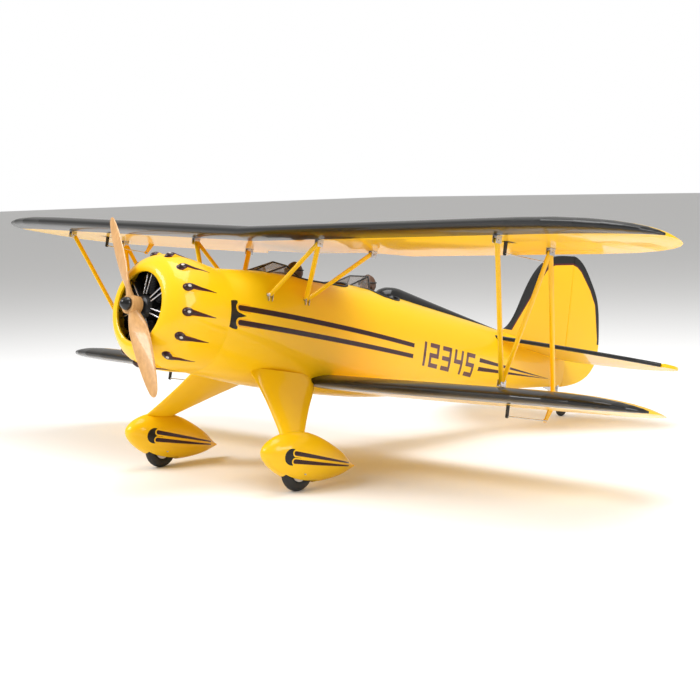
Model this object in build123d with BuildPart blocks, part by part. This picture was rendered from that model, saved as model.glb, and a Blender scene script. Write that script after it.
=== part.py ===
from build123d import *
import math
import os

# Open-cockpit biplane, one-fifth scale, radio controlled, standing on its three wheels.
#
# Everything is drawn in the rigging frame, in millimetres: origin at the propeller hub, +X to the
# aircraft's left, +Y aft, +Z up, with the undersides of both wings level fore and aft. The last
# section tips the finished pieces into the standing attitude, with the floor at Z = 0.

os.makedirs("parts", exist_ok=True)

# ---------------------------------------------------------------- driving dimensions

# wings: a 2.5 % cambered, 11 % thick section, set a little nose up
CAMBER = 0.025
CAMBER_AT = 0.4
THICKNESS = 0.11
WING_SLOPE = 0.040          # drop of the chord line per mm aft
TIP_POWER = 2.2             # roundness of the wing tips

UPPER_SPAN = 915.0          # centre line to tip
UPPER_LE = 219.0
UPPER_CHORD = 278.0
UPPER_TE_Z = 158.8
UPPER_RISE = 0.0265         # dihedral, rise per mm of span
UPPER_TIP = 234.0           # span of the rounded tip
CUTOUT_DEPTH = 58.0         # centre-section trailing edge cut-out
CUTOUT_HALF = 125.0
CUTOUT_MOUTH = 225.0

LOWER_SPAN = 811.0
LOWER_LE = 373.0
LOWER_CHORD = 275.0
LOWER_TE_Z = -113.0
LOWER_RISE = 0.018
LOWER_TIP = 205.0
LOWER_ROOT = 62.0           # the panels are let into the fuselage side

# ailerons
HINGE_BACK = 233.0          # hinge line aft of the leading edge
AILERON_NOSE_R = 5.0
AILERON_GAP = 0.8
UPPER_AILERON = (400.0, 695.0)
LOWER_AILERON = (330.0, 615.0)
UPPER_HORN_X = 585.0
LOWER_HORN_X = 500.0
HORN_REACH = 26.0           # hinge line to pushrod hole, and servo shaft to pushrod hole
ROD_LENGTH = 110.0
PIN_R = 1.2
HORN_PLAY = 0.35            # slack of the pushrod in the horn
PLATE = 3.0                 # thickness of horns and servo arms

# struts
UPPER_STRUT_X = 623.0
LOWER_STRUT_X = 540.0
FRONT_SPAR = 56.0           # aft of the leading edge
REAR_SPAR = 199.5
CABANE_X = 184.0
CABANE_FRONT_FOOT = (104.0, 243.0, 57.0)
CABANE_REAR_FOOT = (107.0, 335.0, 60.0)
STRUT_CHORD = 11.0
STRUT_THICK = 6.0
SPAR_TUBE_R = 6.5
UPPER_TUBE_UP = 18.0        # joiner tube above the trailing edge
LOWER_TUBE_UP = 17.5

# nose
THRUST_TILT = 3.4           # degrees, nose up from the rigging frame
FIREWALL = 150.0            # station behind the propeller hub
COWL_REAR_R = 103.5
COWL_WALL = 2.5
BLISTERS = 14
CYLINDERS = 7
DUMMY_STATION = 42.0        # plane of the dummy cylinders
PROP_R = 197.0
PROP_ANGLE = 34.4           # degrees from upright, top blade towards the right wing
PROP_PITCH = 203.0
SHAFT_R = 4.0

# undercarriage
TRACK = 206.8               # centre line to wheel
WHEEL_Y = 264.6
WHEEL_Z = -272.2
WHEEL_R = 35.0
TYRE_WIDTH = 22.0
AXLE_R = 2.5
TAIL_WHEEL_Y = 1278.0
TAIL_WHEEL_Z = -92.9
TAIL_WHEEL_R = 16.0
TAIL_PIVOT_Y = 1252.0

# tail
TAIL_POST = 1262.0
RUDDER_HINGE_Y = 1267.5
RUDDER_NOSE_R = 4.0
FIN_THICK = 9.0
TAIL_SLOPE = 0.085          # the tailplane's own nose-up set
TAIL_Y = 1245.0
TAIL_Z = 24.6
ELEVATOR_HINGE_Y = 1226.0
ELEVATOR_NOSE_R = 4.2
JOINER_R = 2.0

SHELL = 3.0                 # fuselage wall
RUN = 0.05                  # radial running clearance

pieces = {}                 # node name: finished shape, in the rigging frame


def mirrored(shapes):
    """The same shapes on the other side of the aircraft."""
    return [mirror(shape, about=Plane.YZ) for shape in shapes]


def gathered(shapes):
    """Several solids as one piece."""
    solids = [solid for shape in shapes for solid in shape.solids()]
    return solids[0] if len(solids) == 1 else Compound(children=solids)


def both_sides(name, *shapes):
    """Keep a left-hand piece and its mirror image."""
    pieces[name + "_left"] = gathered(shapes)
    pieces[name + "_right"] = gathered(mirrored(shapes))


# ---------------------------------------------------------------- shared geometry

def half_thickness(u):
    """Half the wing section's thickness at fraction u of a chord of one."""
    shape = 0.2969 * math.sqrt(u) - 0.1260 * u - 0.3516 * u**2 + 0.2843 * u**3 - 0.1015 * u**4
    return 5 * THICKNESS * shape


def camber_line(u):
    if u < CAMBER_AT:
        return CAMBER / CAMBER_AT**2 * (2 * CAMBER_AT * u - u**2)
    return CAMBER / (1 - CAMBER_AT) ** 2 * ((1 - 2 * CAMBER_AT) + 2 * CAMBER_AT * u - u**2)


def surface_point(u, side, le_y, chord, te_z):
    """A point of the section as (y, z): side 1 is the upper surface, -1 the lower, 0 the camber line."""
    y = le_y + u * chord
    middle = te_z + (1 - u) * chord * WING_SLOPE + camber_line(u) * chord
    return (y, middle + side * half_thickness(u) * chord)


def section_outline(le_y, chord, te_z):
    """The wing section, closed by its blunt trailing edge; called inside a BuildLine."""
    steps = [1 - math.cos(math.pi / 2 * i / 12) for i in range(13)]
    top = [surface_point(u, 1, le_y, chord, te_z) for u in steps]
    under = [surface_point(u, -1, le_y, chord, te_z) for u in steps]
    Spline(*top)
    Spline(*under)
    Line(top[-1], under[-1])


def wing_panel(span, tip, le_y, chord, te_z, rise, root):
    """One plain wing panel, from its root station to the rounded tip."""
    along = Vector(1, 0, rise).normalized()
    straight = span - tip
    with BuildPart() as panel:
        with BuildSketch(Plane.YZ.offset(root)):
            with BuildLine():
                section_outline(le_y, chord, te_z + rise * root)
            make_face()
        extrude(amount=(straight - root) / along.X, dir=along)
        for angle in (0, 18, 33, 46, 57, 67, 76, 83):
            out = math.sin(math.radians(angle))
            x = straight + tip * out
            local = chord * (1 - out**TIP_POWER) ** (1 / TIP_POWER)
            nose = le_y + (chord - local) / 2
            back_z = te_z + rise * x + (chord - local) / 2 * WING_SLOPE
            with BuildSketch(Plane.YZ.offset(x)):
                with BuildLine():
                    section_outline(nose, local, back_z)
                make_face()
        loft(ruled=True)
    return panel.part


def oval(half_x, half_y, x=0.0, y=0.0):
    """A closed oval; called inside a BuildLine."""
    turns = [math.pi * i / 8 for i in range(16)]
    Spline(*[(x + half_x * math.cos(a), y + half_y * math.sin(a)) for a in turns], periodic=True)


def stretch(start, end, chord, thick):
    """A straight streamlined strut between two points, its chord fore and aft."""
    run = Vector(end) - Vector(start)
    plane = Plane(origin=start, x_dir=(0, 1, 0), z_dir=run)
    with BuildPart() as strut:
        with BuildSketch(plane):
            Ellipse(chord / 2, thick / 2)
        extrude(amount=run.length)
    return strut.part


def round_bar(start, end, radius):
    """A round bar between two points."""
    run = Vector(*end) - Vector(*start)
    with BuildPart() as bar:
        with BuildSketch(Plane(origin=start, z_dir=run)):
            Circle(radius)
        extrude(amount=run.length)
    return bar.part


def tail_z(y):
    """Height of the tailplane's middle plane."""
    return TAIL_Z - TAIL_SLOPE * (y - TAIL_Y)


AFT = Vector(0, math.cos(math.radians(THRUST_TILT)), -math.sin(math.radians(THRUST_TILT)))
THRUST_AXIS = Axis((0, 0, 0), AFT)
THRUST_SIDE = Plane(origin=(0, 0, 0), x_dir=AFT, z_dir=(1, 0, 0))   # sketches as (station, radius)


def thrust_disc(station):
    """The plane across the thrust line at a station, facing forward."""
    return Plane(origin=AFT * station, x_dir=(1, 0, 0), z_dir=-AFT)


# ---------------------------------------------------------------- fuselage

# station y, half width, top z, bottom z, height of the widest line, power above and below it
FUSELAGE = [
    (200.0, 107.0, 94.5, -117.5, -11.0, 2.15, 2.3),
    (262.0, 109.5, 100.5, -122.0, -9.0, 2.5, 2.6),
    (330.0, 110.0, 104.5, -124.5, -8.0, 2.6, 3.1),
    (420.0, 109.0, 107.0, -125.5, -8.0, 2.6, 3.6),
    (510.0, 106.5, 107.0, -124.0, -6.0, 2.5, 3.6),
    (600.0, 101.0, 103.0, -119.0, -5.0, 2.4, 3.2),
    (720.0, 89.0, 93.0, -106.0, -3.0, 2.3, 2.7),
    (860.0, 70.0, 81.0, -87.0, 0.0, 2.2, 2.4),
    (1000.0, 48.0, 68.0, -70.0, 2.0, 2.1, 2.2),
    (1130.0, 28.0, 57.0, -55.5, 4.0, 2.1, 2.2),
    (TAIL_POST, 9.0, 47.0, -41.0, 5.0, 2.1, 2.2),
]


def hull_section(half, top, bottom, middle, power_up, power_down, inset=0.0):
    """A closed superellipse outline as (x, z), called inside a BuildLine."""
    points = []
    for i in range(28):
        turn = 2 * math.pi * i / 28
        c, s = math.cos(turn), math.sin(turn)
        power = power_up if s >= 0 else power_down
        reach = (top - middle if s >= 0 else middle - bottom) - inset
        x = (half - inset) * math.copysign(abs(c) ** (2 / power), c)
        points.append((x, middle + reach * math.copysign(abs(s) ** (2 / power), s)))
    Spline(*points, periodic=True)


def hull(inset=0.0, first=FIREWALL):
    """The fuselage's outer body, or with an inset the space inside its wall."""
    with BuildPart() as body:
        with BuildSketch(thrust_disc(first)):
            with BuildLine():
                radius = COWL_REAR_R
                hull_section(radius, radius, -radius, 0, 2, 2, inset)
            make_face()
        for y, *shape in FUSELAGE:
            with BuildSketch(Plane(origin=(0, y, 0), x_dir=(1, 0, 0), z_dir=(0, -1, 0))):
                with BuildLine():
                    hull_section(*shape, inset)
                make_face()
        loft()
    return body.part


outer = hull()
inner = hull(inset=SHELL)

# cockpit openings: (centre y, half length, half width)
COCKPITS = [(418.0, 82.0, 60.0), (606.0, 46.0, 56.0)]

with BuildPart() as fuselage:
    add(outer)
    add(inner, mode=Mode.SUBTRACT)
    for centre, half_length, half_width in COCKPITS:
        with BuildSketch(Plane.XY.offset(60)):
            with Locations((0, centre)):
                RectangleRounded(2 * half_width, 2 * half_length, 0.7 * min(half_width, half_length))
        extrude(amount=90, mode=Mode.SUBTRACT)
    tube_y, tube_z = LOWER_LE + 0.28 * LOWER_CHORD, LOWER_TE_Z + LOWER_TUBE_UP
    with BuildSketch(Plane.YZ.offset(-150)):
        with Locations((tube_y, tube_z)):
            Circle(SPAR_TUBE_R + 0.1)
        with Locations((ELEVATOR_HINGE_Y, tail_z(ELEVATOR_HINGE_Y))):
            Circle(JOINER_R + RUN)
    extrude(amount=300, mode=Mode.SUBTRACT)
pieces["fuselage"] = fuselage.part

# ---------------------------------------------------------------- wings

upper = wing_panel(UPPER_SPAN, UPPER_TIP, UPPER_LE, UPPER_CHORD, UPPER_TE_Z, UPPER_RISE, 0)
lower = wing_panel(LOWER_SPAN, LOWER_TIP, LOWER_LE, LOWER_CHORD, LOWER_TE_Z, LOWER_RISE, LOWER_ROOT)


def hinge_z(x, le_y, chord, te_z, rise):
    """Height of the aileron hinge line at station x, on the section's camber line."""
    return surface_point(HINGE_BACK / chord, 0, le_y, chord, te_z)[1] + rise * x


def swept(le_y, chord, te_z, rise, ends, nose_r, outline):
    """Extrude an outline drawn round the hinge line from one end station to the other."""
    along = Vector(1, 0, rise).normalized()
    hinge = (ends[0], le_y + HINGE_BACK, hinge_z(ends[0], le_y, chord, te_z, rise))
    with BuildPart() as bar:
        with BuildSketch(Plane(origin=hinge, x_dir=(0, 1, 0), z_dir=(1, 0, 0))):
            outline(nose_r)
        extrude(amount=(ends[1] - ends[0]) / along.X, dir=along)
    return bar.part


def bay_outline(nose_r):
    Circle(nose_r)
    with Locations((100, 0)):
        Rectangle(200, 60)


def aileron_and_panel(panel, le_y, chord, te_z, rise, ends):
    """Split a panel along the hinge line into the aileron and what is left of the wing."""
    shape = (le_y, chord, te_z, rise)
    bay = swept(*shape, ends, AILERON_NOSE_R + AILERON_GAP, bay_outline)
    inside = (ends[0] + AILERON_GAP, ends[1] - AILERON_GAP)
    blade = swept(*shape, inside, AILERON_NOSE_R, bay_outline)
    with BuildPart() as aileron:
        add(panel)
        add(blade, mode=Mode.INTERSECT)
    with BuildPart() as wing:
        add(panel)
        add(bay, mode=Mode.SUBTRACT)
    return aileron.part, wing.part


def linkage(horn_x, le_y, chord, te_z, rise):
    """The two pivots of one aileron linkage: the servo shaft and the hinge line, at the horn's station."""
    z = hinge_z(horn_x, le_y, chord, te_z, rise)
    y = le_y + HINGE_BACK
    return (horn_x, y - ROD_LENGTH, z), (horn_x, y, z)


def pocket(shaft, depth):
    """The servo's pocket in the wing, open underneath."""
    x, y, z = shaft
    with BuildPart() as box:
        with BuildSketch(Plane.XY.offset(z + 7)):
            with Locations((x + 6, y)):
                Rectangle(20, 26)
        extrude(amount=-depth)
    return box.part


def servo_case(shaft):
    """A small servo on its side, with its output shaft towards the arm."""
    x, y, z = shaft
    with BuildPart() as case:
        with BuildSketch(Plane.XY.offset(z + 6.5)):
            with Locations((x + 9, y)):
                Rectangle(12, 24)
        extrude(amount=-12)
        with BuildSketch(Plane.YZ.offset(x - PLATE / 2)):
            with Locations((y, z)):
                Circle(PIN_R)
        extrude(amount=6)
    return case.part


def lever(pivot, reach, boss_r, pivot_r):
    """A flat arm hanging from a pivot, with a pushrod hole at its reach."""
    x, y, z = pivot
    with BuildPart() as arm:
        with BuildSketch(Plane.YZ.offset(x - PLATE / 2)):
            with BuildLine():
                Polyline((y - 3, z - reach - 2.5), (y + 3, z - reach - 2.5), (y + boss_r, z),
                         (y - boss_r, z), close=True)
            make_face()
            with Locations((y, z)):
                Circle(boss_r)
            with Locations((y, z - reach)):
                Circle(3.4)
                Circle(PIN_R + RUN, mode=Mode.SUBTRACT)
            with Locations((y, z)):
                Circle(pivot_r, mode=Mode.SUBTRACT)
        extrude(amount=PLATE)
    return arm.part


def horn(pivot, under_z):
    """A control horn: a foot on the aileron's underside and a blade down to the pushrod hole."""
    x, y, z = pivot
    with BuildPart() as blade:
        with BuildSketch(Plane.YZ.offset(x - PLATE / 2)):
            with BuildLine():
                Polyline((y - 3, z - HORN_REACH - 3), (y + 3.4, z - HORN_REACH - 3), (y + 20, under_z + 1.5),
                         (y + 6.5, under_z + 1.5), close=True)
            make_face()
            with Locations((y, z - HORN_REACH)):
                Circle(3.6)
                Circle(PIN_R + HORN_PLAY, mode=Mode.SUBTRACT)
        extrude(amount=PLATE)
    return blade.part


def pushrod(shaft, hinge):
    """A wire rod with a bent pin at each end, through the servo arm and through the horn."""
    side = PLATE / 2 + 2.5
    wire = PIN_R - 0.1
    with BuildPart() as rod:
        for x, y, z in (shaft, hinge):
            with BuildSketch(Plane.YZ.offset(x + side + 0.9)):
                with Locations((y, z - HORN_REACH)):
                    Circle(PIN_R)
            extrude(amount=-(side + PLATE / 2 + 2.4))
        x, y, z = shaft
        with BuildSketch(Plane.XZ.offset(0.9 - y)):
            with Locations((x + side, z - HORN_REACH)):
                Circle(wire)
        extrude(amount=-(hinge[1] - y + 1.8))
    return rod.part


spar_tubes = []
servos = []
panels = {
    "upper": (upper, UPPER_LE, UPPER_CHORD, UPPER_TE_Z, UPPER_RISE, UPPER_AILERON, UPPER_HORN_X),
    "lower": (lower, LOWER_LE, LOWER_CHORD, LOWER_TE_Z, LOWER_RISE, LOWER_AILERON, LOWER_HORN_X),
}
for level, (panel, le_y, chord, te_z, rise, ends, horn_x) in panels.items():
    aileron, wing_part = aileron_and_panel(panel, le_y, chord, te_z, rise, ends)
    shaft, hinge = linkage(horn_x, le_y, chord, te_z, rise)
    tube_y = le_y + 0.28 * chord
    tube_z = te_z + (UPPER_TUBE_UP if level == "upper" else LOWER_TUBE_UP)
    reach = 230.0 if level == "upper" else 300.0
    spar_tubes.append((tube_y, tube_z, reach))
    under_z = surface_point((HINGE_BACK + 12) / chord, -1, le_y, chord, te_z)[1] + rise * horn_x
    servo_pocket = pocket(shaft, 40)
    tube_hole = round_bar((-1, tube_y, tube_z), (reach, tube_y, tube_z), SPAR_TUBE_R + 0.1)
    with BuildPart() as wing:
        add(wing_part)
        add(servo_pocket, mode=Mode.SUBTRACT)
        add(tube_hole, mode=Mode.SUBTRACT)
        if level == "upper":
            with BuildSketch(Plane.XY.offset(te_z - 30)):
                with BuildLine():
                    back = le_y + chord
                    Polyline((-1, back + 5), (-1, back - CUTOUT_DEPTH), (CUTOUT_HALF, back - CUTOUT_DEPTH))
                    Spline((CUTOUT_HALF, back - CUTOUT_DEPTH), (CUTOUT_MOUTH, back + 5),
                           tangents=[(1, 0.05), (1, 0.45)])
                    Line((CUTOUT_MOUTH, back + 5), (-1, back + 5))
                make_face()
            extrude(amount=80, mode=Mode.SUBTRACT)
        else:
            add(outer, mode=Mode.SUBTRACT)
    blade = horn(hinge, under_z)
    with BuildPart() as surface:
        add(aileron)
        add(blade, mode=Mode.SUBTRACT)
    case = servo_case(shaft)
    servos += [case, mirror(case, about=Plane.YZ)]
    both_sides(level + "_wing", wing.part)
    both_sides("aileron_" + level, surface.part, blade)
    both_sides("servo_arm_" + level, lever(shaft, HORN_REACH, 3.6, PIN_R + RUN))
    both_sides("pushrod_" + level, pushrod(shaft, hinge))

with BuildPart() as wing_tubes:
    for tube_y, tube_z, reach in spar_tubes:
        with BuildSketch(Plane.YZ.offset(-reach + 1)):
            with Locations((tube_y, tube_z)):
                Circle(SPAR_TUBE_R)
                Circle(SPAR_TUBE_R - 1, mode=Mode.SUBTRACT)
        extrude(amount=2 * reach - 2)
pieces["wing_tubes"] = wing_tubes.part


# ---------------------------------------------------------------- nose

UP = Vector(0, -AFT.Z, AFT.Y)


def spoke(angle):
    """The unit vector square to the thrust line, at an angle from the top towards the left wing."""
    return Vector(1, 0, 0) * math.sin(math.radians(angle)) + UP * math.cos(math.radians(angle))


def spoke_plane(angle):
    """The plane through the thrust line and a spoke; sketches as (station, radius)."""
    return Plane(origin=(0, 0, 0), x_dir=AFT, z_dir=AFT.cross(spoke(angle)))


COWL_OUTER = [(FIREWALL, COWL_REAR_R), (125, 106), (100, 108.3), (75, 108.6), (50, 105), (32, 97),
              (19.5, 85), (13.5, 73), (15, 66.5)]
COWL_INNER = [(19, 66.5), (22, 82), (34, 94), (51, 102.2), (75, 106), (100, 105.7), (125, 103.4),
              (FIREWALL, COWL_REAR_R - COWL_WALL)]

with BuildPart() as cowl:
    with BuildSketch(THRUST_SIDE):
        with BuildLine():
            Spline(*COWL_OUTER)
            Line(COWL_OUTER[-1], COWL_INNER[0])
            Spline(*COWL_INNER)
            Line(COWL_INNER[-1], COWL_OUTER[0])
        make_face()
    revolve(axis=THRUST_AXIS)
    for k in range(BLISTERS):
        plane = spoke_plane((k + 0.5) * 360 / BLISTERS)
        head, tail = (39, 102.5), (114, 107.0)
        with BuildSketch(plane):
            with BuildLine():
                Spline(head, (43, 109.2), (51, 112.2), (62, 111.6), (84, 109.4), tail)
                Line(tail, head)
            make_face()
        start = plane.from_local_coords(head)
        end = plane.from_local_coords(tail)
        revolve(axis=Axis(start, end - start))
pieces["cowl"] = cowl.part

with BuildPart() as firewall:
    with BuildSketch(thrust_disc(FIREWALL)):
        Circle(COWL_REAR_R - SHELL - 1)
    extrude(amount=-4)
pieces["firewall"] = firewall.part

with BuildPart() as dummy_crankcase:
    with BuildSketch(THRUST_SIDE):
        with BuildLine():
            Polyline((15, 8.5), (15, 13), (19, 20), (27, 24), (53, 26), (53, 80), (56, 80), (56, 8.5),
                     close=True)
        make_face()
    revolve(axis=THRUST_AXIS)
pieces["dummy_crankcase"] = dummy_crankcase.part

with BuildPart() as dummy_cylinders:
    for k in range(CYLINDERS):
        angle = k * 360 / CYLINDERS
        comb = [(DUMMY_STATION, 27), (DUMMY_STATION + 8, 27)]
        for fin in range(14):
            r = 29.5 + 3.0 * fin
            comb += [(DUMMY_STATION + 8, r), (DUMMY_STATION + 10.5, r), (DUMMY_STATION + 10.5, r + 1.2),
                     (DUMMY_STATION + 8, r + 1.2)]
        comb += [(DUMMY_STATION + 8, 73), (DUMMY_STATION, 73)]
        with BuildSketch(spoke_plane(angle)):
            with BuildLine():
                Polyline(*comb, close=True)
            make_face()
        revolve(axis=Axis(AFT * DUMMY_STATION, spoke(angle)))
pieces["dummy_cylinders"] = dummy_cylinders.part

tubes = []
for k in range(CYLINDERS):
    angle = k * 360 / CYLINDERS
    for side in (-1, 1):
        lean = spoke(angle + 90) * side
        foot = AFT * 24 + spoke(angle) * 25 + lean * 4
        top = AFT * 29 + spoke(angle) * 72 + lean * 6.5
        tubes.append(round_bar(foot, top, 1.5))
pieces["dummy_pushrod_tubes"] = gathered(tubes)

with BuildPart() as engine:
    with BuildSketch(thrust_disc(60)):
        Circle(14)
    extrude(amount=-20)
    with BuildSketch(thrust_disc(80)):
        Circle(24)
    extrude(amount=-42)
    with BuildSketch(thrust_disc(122)):
        RectangleRounded(62, 62, 8)
        with GridLocations(48, 48, 2, 2):
            Circle(2.5, mode=Mode.SUBTRACT)
    extrude(amount=-4)
    with BuildSketch(thrust_disc(126)):
        with GridLocations(48, 48, 2, 2):
            Circle(5)
    extrude(amount=-(FIREWALL - 126))
    side = spoke(90)
    with BuildSketch(Plane(origin=AFT * 101 + side * 20, x_dir=AFT, z_dir=side)):
        Circle(17)
    extrude(amount=36)
    for fin in range(5):
        with BuildSketch(Plane(origin=AFT * 101 + side * (56 + 4 * fin), x_dir=AFT, z_dir=side)):
            Circle(20)
        extrude(amount=2)
    with BuildSketch(Plane(origin=AFT * 101 + side * 56, x_dir=AFT, z_dir=side)):
        Circle(15)
    extrude(amount=22)
    with BuildSketch(thrust_disc(60)):
        Circle(SHAFT_R + RUN)
    extrude(amount=-40, mode=Mode.SUBTRACT)
pieces["engine"] = engine.part

with BuildPart() as crankshaft:
    with BuildSketch(thrust_disc(-20)):
        Circle(SHAFT_R)
    extrude(amount=-118)
    with BuildSketch(thrust_disc(11)):
        Circle(8)
    extrude(amount=-2)
pieces["crankshaft"] = crankshaft.part


def blade_plane(radius):
    """The plane of one propeller section, square to the blade, turned to the pitch at its radius."""
    out = spoke(-PROP_ANGLE)
    pitch = math.atan2(PROP_PITCH, 2 * math.pi * radius)
    across = out.cross(AFT) * math.cos(pitch) + AFT * math.sin(pitch)
    return Plane(origin=out * radius, x_dir=across, z_dir=out)


# radius, chord, thickness of the blade
BLADE = [(10, 21, 17), (24, 25, 13), (42, 33, 10), (70, 38.5, 8), (105, 38, 6.5), (140, 33.5, 5.2),
         (168, 27, 4.2), (185, 20, 3.4), (194, 12, 2.6), (PROP_R, 5, 2)]

with BuildPart() as blade_half:
    for radius, chord, thick in BLADE:
        with BuildSketch(blade_plane(radius)):
            with BuildLine():
                oval(chord / 2, thick / 2)
            make_face()
    loft()

with BuildPart() as propeller:
    with BuildSketch(thrust_disc(-11)):
        Circle(18)
    extrude(amount=-22)
    add(blade_half.part)
    add(blade_half.part.rotate(THRUST_AXIS, 180))
    with BuildSketch(thrust_disc(-30)):
        Circle(SHAFT_R)
    extrude(amount=-60, mode=Mode.SUBTRACT)
pieces["propeller"] = propeller.part

with BuildPart() as spinner_nut:
    with BuildSketch(THRUST_SIDE):
        with BuildLine():
            Line((-11, 0), (-11, 12.5))
            Line((-11, 12.5), (-14, 12.5))
            Spline((-14, 12.5), (-21, 9.5), (-27, 0), tangents=[(-1, 0), (0, -1)])
            Line((-27, 0), (-11, 0))
        make_face()
    revolve(axis=THRUST_AXIS)
    with BuildSketch(thrust_disc(-20)):
        Circle(SHAFT_R)
    extrude(amount=-10, mode=Mode.SUBTRACT)
pieces["spinner_nut"] = spinner_nut.part

with BuildPart() as fuel_tank:
    with BuildSketch(Plane(origin=(0, 172, -20), x_dir=(1, 0, 0), z_dir=(0, -1, 0))):
        RectangleRounded(66, 60, 14)
    extrude(amount=-96)
    fillet(fuel_tank.edges().group_by(Axis.Y)[0] + fuel_tank.edges().group_by(Axis.Y)[-1], 5)
    with BuildSketch(Plane(origin=(0, 172, -20), x_dir=(1, 0, 0), z_dir=(0, -1, 0))):
        Circle(10)
    extrude(amount=8)
pieces["fuel_tank"] = fuel_tank.part

# ---------------------------------------------------------------- struts


def upper_under(x, back):
    """Height of the upper wing's underside, back from its leading edge."""
    return surface_point(back / UPPER_CHORD, -1, UPPER_LE, UPPER_CHORD, UPPER_TE_Z)[1] + UPPER_RISE * x


def lower_top(x, back):
    """Height of the lower wing's top surface, back from its leading edge."""
    return surface_point(back / LOWER_CHORD, 1, LOWER_LE, LOWER_CHORD, LOWER_TE_Z)[1] + LOWER_RISE * x


SEAT = 4.0                  # strut ends stand this far off the wings
DIAGONAL_GAP = 24.0         # the diagonal ends this far from the meeting points, on its metal tabs

interplane = {
    "front_foot": (LOWER_STRUT_X, LOWER_LE + FRONT_SPAR - 5, lower_top(LOWER_STRUT_X, FRONT_SPAR) + SEAT),
    "rear_foot": (LOWER_STRUT_X, LOWER_LE + REAR_SPAR, lower_top(LOWER_STRUT_X, REAR_SPAR) + SEAT),
    "front_head": (UPPER_STRUT_X, UPPER_LE + FRONT_SPAR, upper_under(UPPER_STRUT_X, FRONT_SPAR) - SEAT),
    "rear_head": (UPPER_STRUT_X, UPPER_LE + REAR_SPAR, upper_under(UPPER_STRUT_X, REAR_SPAR) - SEAT),
}
cabane = {
    "front_foot": CABANE_FRONT_FOOT,
    "rear_foot": CABANE_REAR_FOOT,
    "front_head": (CABANE_X, UPPER_LE + FRONT_SPAR, upper_under(CABANE_X, FRONT_SPAR) - SEAT),
    "rear_head": (CABANE_X, UPPER_LE + REAR_SPAR, upper_under(CABANE_X, REAR_SPAR) - SEAT),
}



def n_struts(ends, diagonal):
    """The front, rear and diagonal struts of an N; the diagonal stops short of its neighbours."""
    start, end = (Vector(*ends[name]) for name in diagonal)
    inward = (end - start).normalized() * DIAGONAL_GAP
    return [
        stretch(ends["front_foot"], ends["front_head"], STRUT_CHORD, STRUT_THICK),
        stretch(ends["rear_foot"], ends["rear_head"], STRUT_CHORD, STRUT_THICK),
        stretch(start + inward, end - inward, STRUT_CHORD, STRUT_THICK),
    ]


both_sides("interplane_strut", *n_struts(interplane, ("front_foot", "rear_head")))
both_sides("cabane_strut", *n_struts(cabane, ("rear_foot", "front_head")))

with BuildPart() as fittings:
    heads = [interplane["front_head"], interplane["rear_head"], cabane["front_head"], cabane["rear_head"]]
    feet = [interplane["front_foot"], interplane["rear_foot"]]
    for x, y, z in heads:
        with BuildSketch(Plane.XY.offset(z - 3)):
            with Locations((x, y)):
                Rectangle(8, 18)
        extrude(amount=SEAT + 2.4)
    for x, y, z in feet:
        with BuildSketch(Plane.XY.offset(z + 3)):
            with Locations((x, y)):
                Rectangle(8, 18)
        extrude(amount=-(SEAT + 2.4))
    for x, y, z in (CABANE_FRONT_FOOT, CABANE_REAR_FOOT):
        with BuildSketch(Plane.YZ.offset(x - 12)):
            with Locations((y, z - 8)):
                RectangleRounded(10, 26, 4.5)
        extrude(amount=15)
    for x, y, z in heads + feet:
        with BuildSketch(Plane.YZ.offset(x - 6)):
            with Locations((y + 6, z)):
                Circle(1.8)
        extrude(amount=12)
pieces["strut_fittings"] = gathered([*fittings.solids(), *mirrored(fittings.solids())])


# ---------------------------------------------------------------- undercarriage

# height, centre x, centre y, width, chord of the streamlined leg
LEG = [(-88, 70, 313, 70, 152), (-112, 98, 308, 44, 148), (-140, 130, 290, 32, 118),
       (-170, 164, 269, 27, 88), (-200, 198, 248, 24, 62), (-212, 212, 240, 24, 56)]

# station y, half height, half width, centre height of the wheel pant
PANT = [(174, 1.5, 1.5, -241.0), (181, 15, 13, -241.0), (196, 27, 20.5, -241.0),
        (220, 38.5, 27, -241.3), (250, 45.5, 30.5, -242.2), (280, 46.3, 31, -243.4),
        (312, 41.5, 28.5, -245.4), (345, 32, 23, -247.8), (380, 17.5, 13, -250.5),
        (409, 1.5, 1.5, -252.0)]

with BuildPart() as pant_body:
    for y, half_height, half_width, z in PANT:
        with BuildSketch(Plane(origin=(TRACK, y, z), x_dir=(1, 0, 0), z_dir=(0, -1, 0))):
            with BuildLine():
                oval(half_width, half_height)
            make_face()
    loft()

with BuildPart() as gear_leg:
    for z, x, y, width, chord in LEG:
        with BuildSketch(Plane.XY.offset(z)):
            with BuildLine():
                oval(width / 2, chord / 2, x, y)
            make_face()
    loft()
    add(outer, mode=Mode.SUBTRACT)
    add(pant_body.part, mode=Mode.SUBTRACT)
both_sides("gear_leg", max(gear_leg.solids(), key=lambda solid: solid.volume))

wheel_side = Plane.YZ.offset(TRACK - 13.5)

with BuildPart() as wheel_pant:
    add(pant_body.part)
    with BuildSketch(wheel_side):
        with Locations((WHEEL_Y, WHEEL_Z)):
            Circle(WHEEL_R + 3.5)
            Rectangle(2 * WHEEL_R + 7, 60, align=(Align.CENTER, Align.MAX))
    extrude(amount=27, mode=Mode.SUBTRACT)
    with BuildSketch(Plane.YZ.offset(TRACK - 24)):
        with Locations((WHEEL_Y, WHEEL_Z)):
            Circle(AXLE_R)
    extrude(amount=48, mode=Mode.SUBTRACT)
both_sides("wheel_pant", wheel_pant.part)

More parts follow.
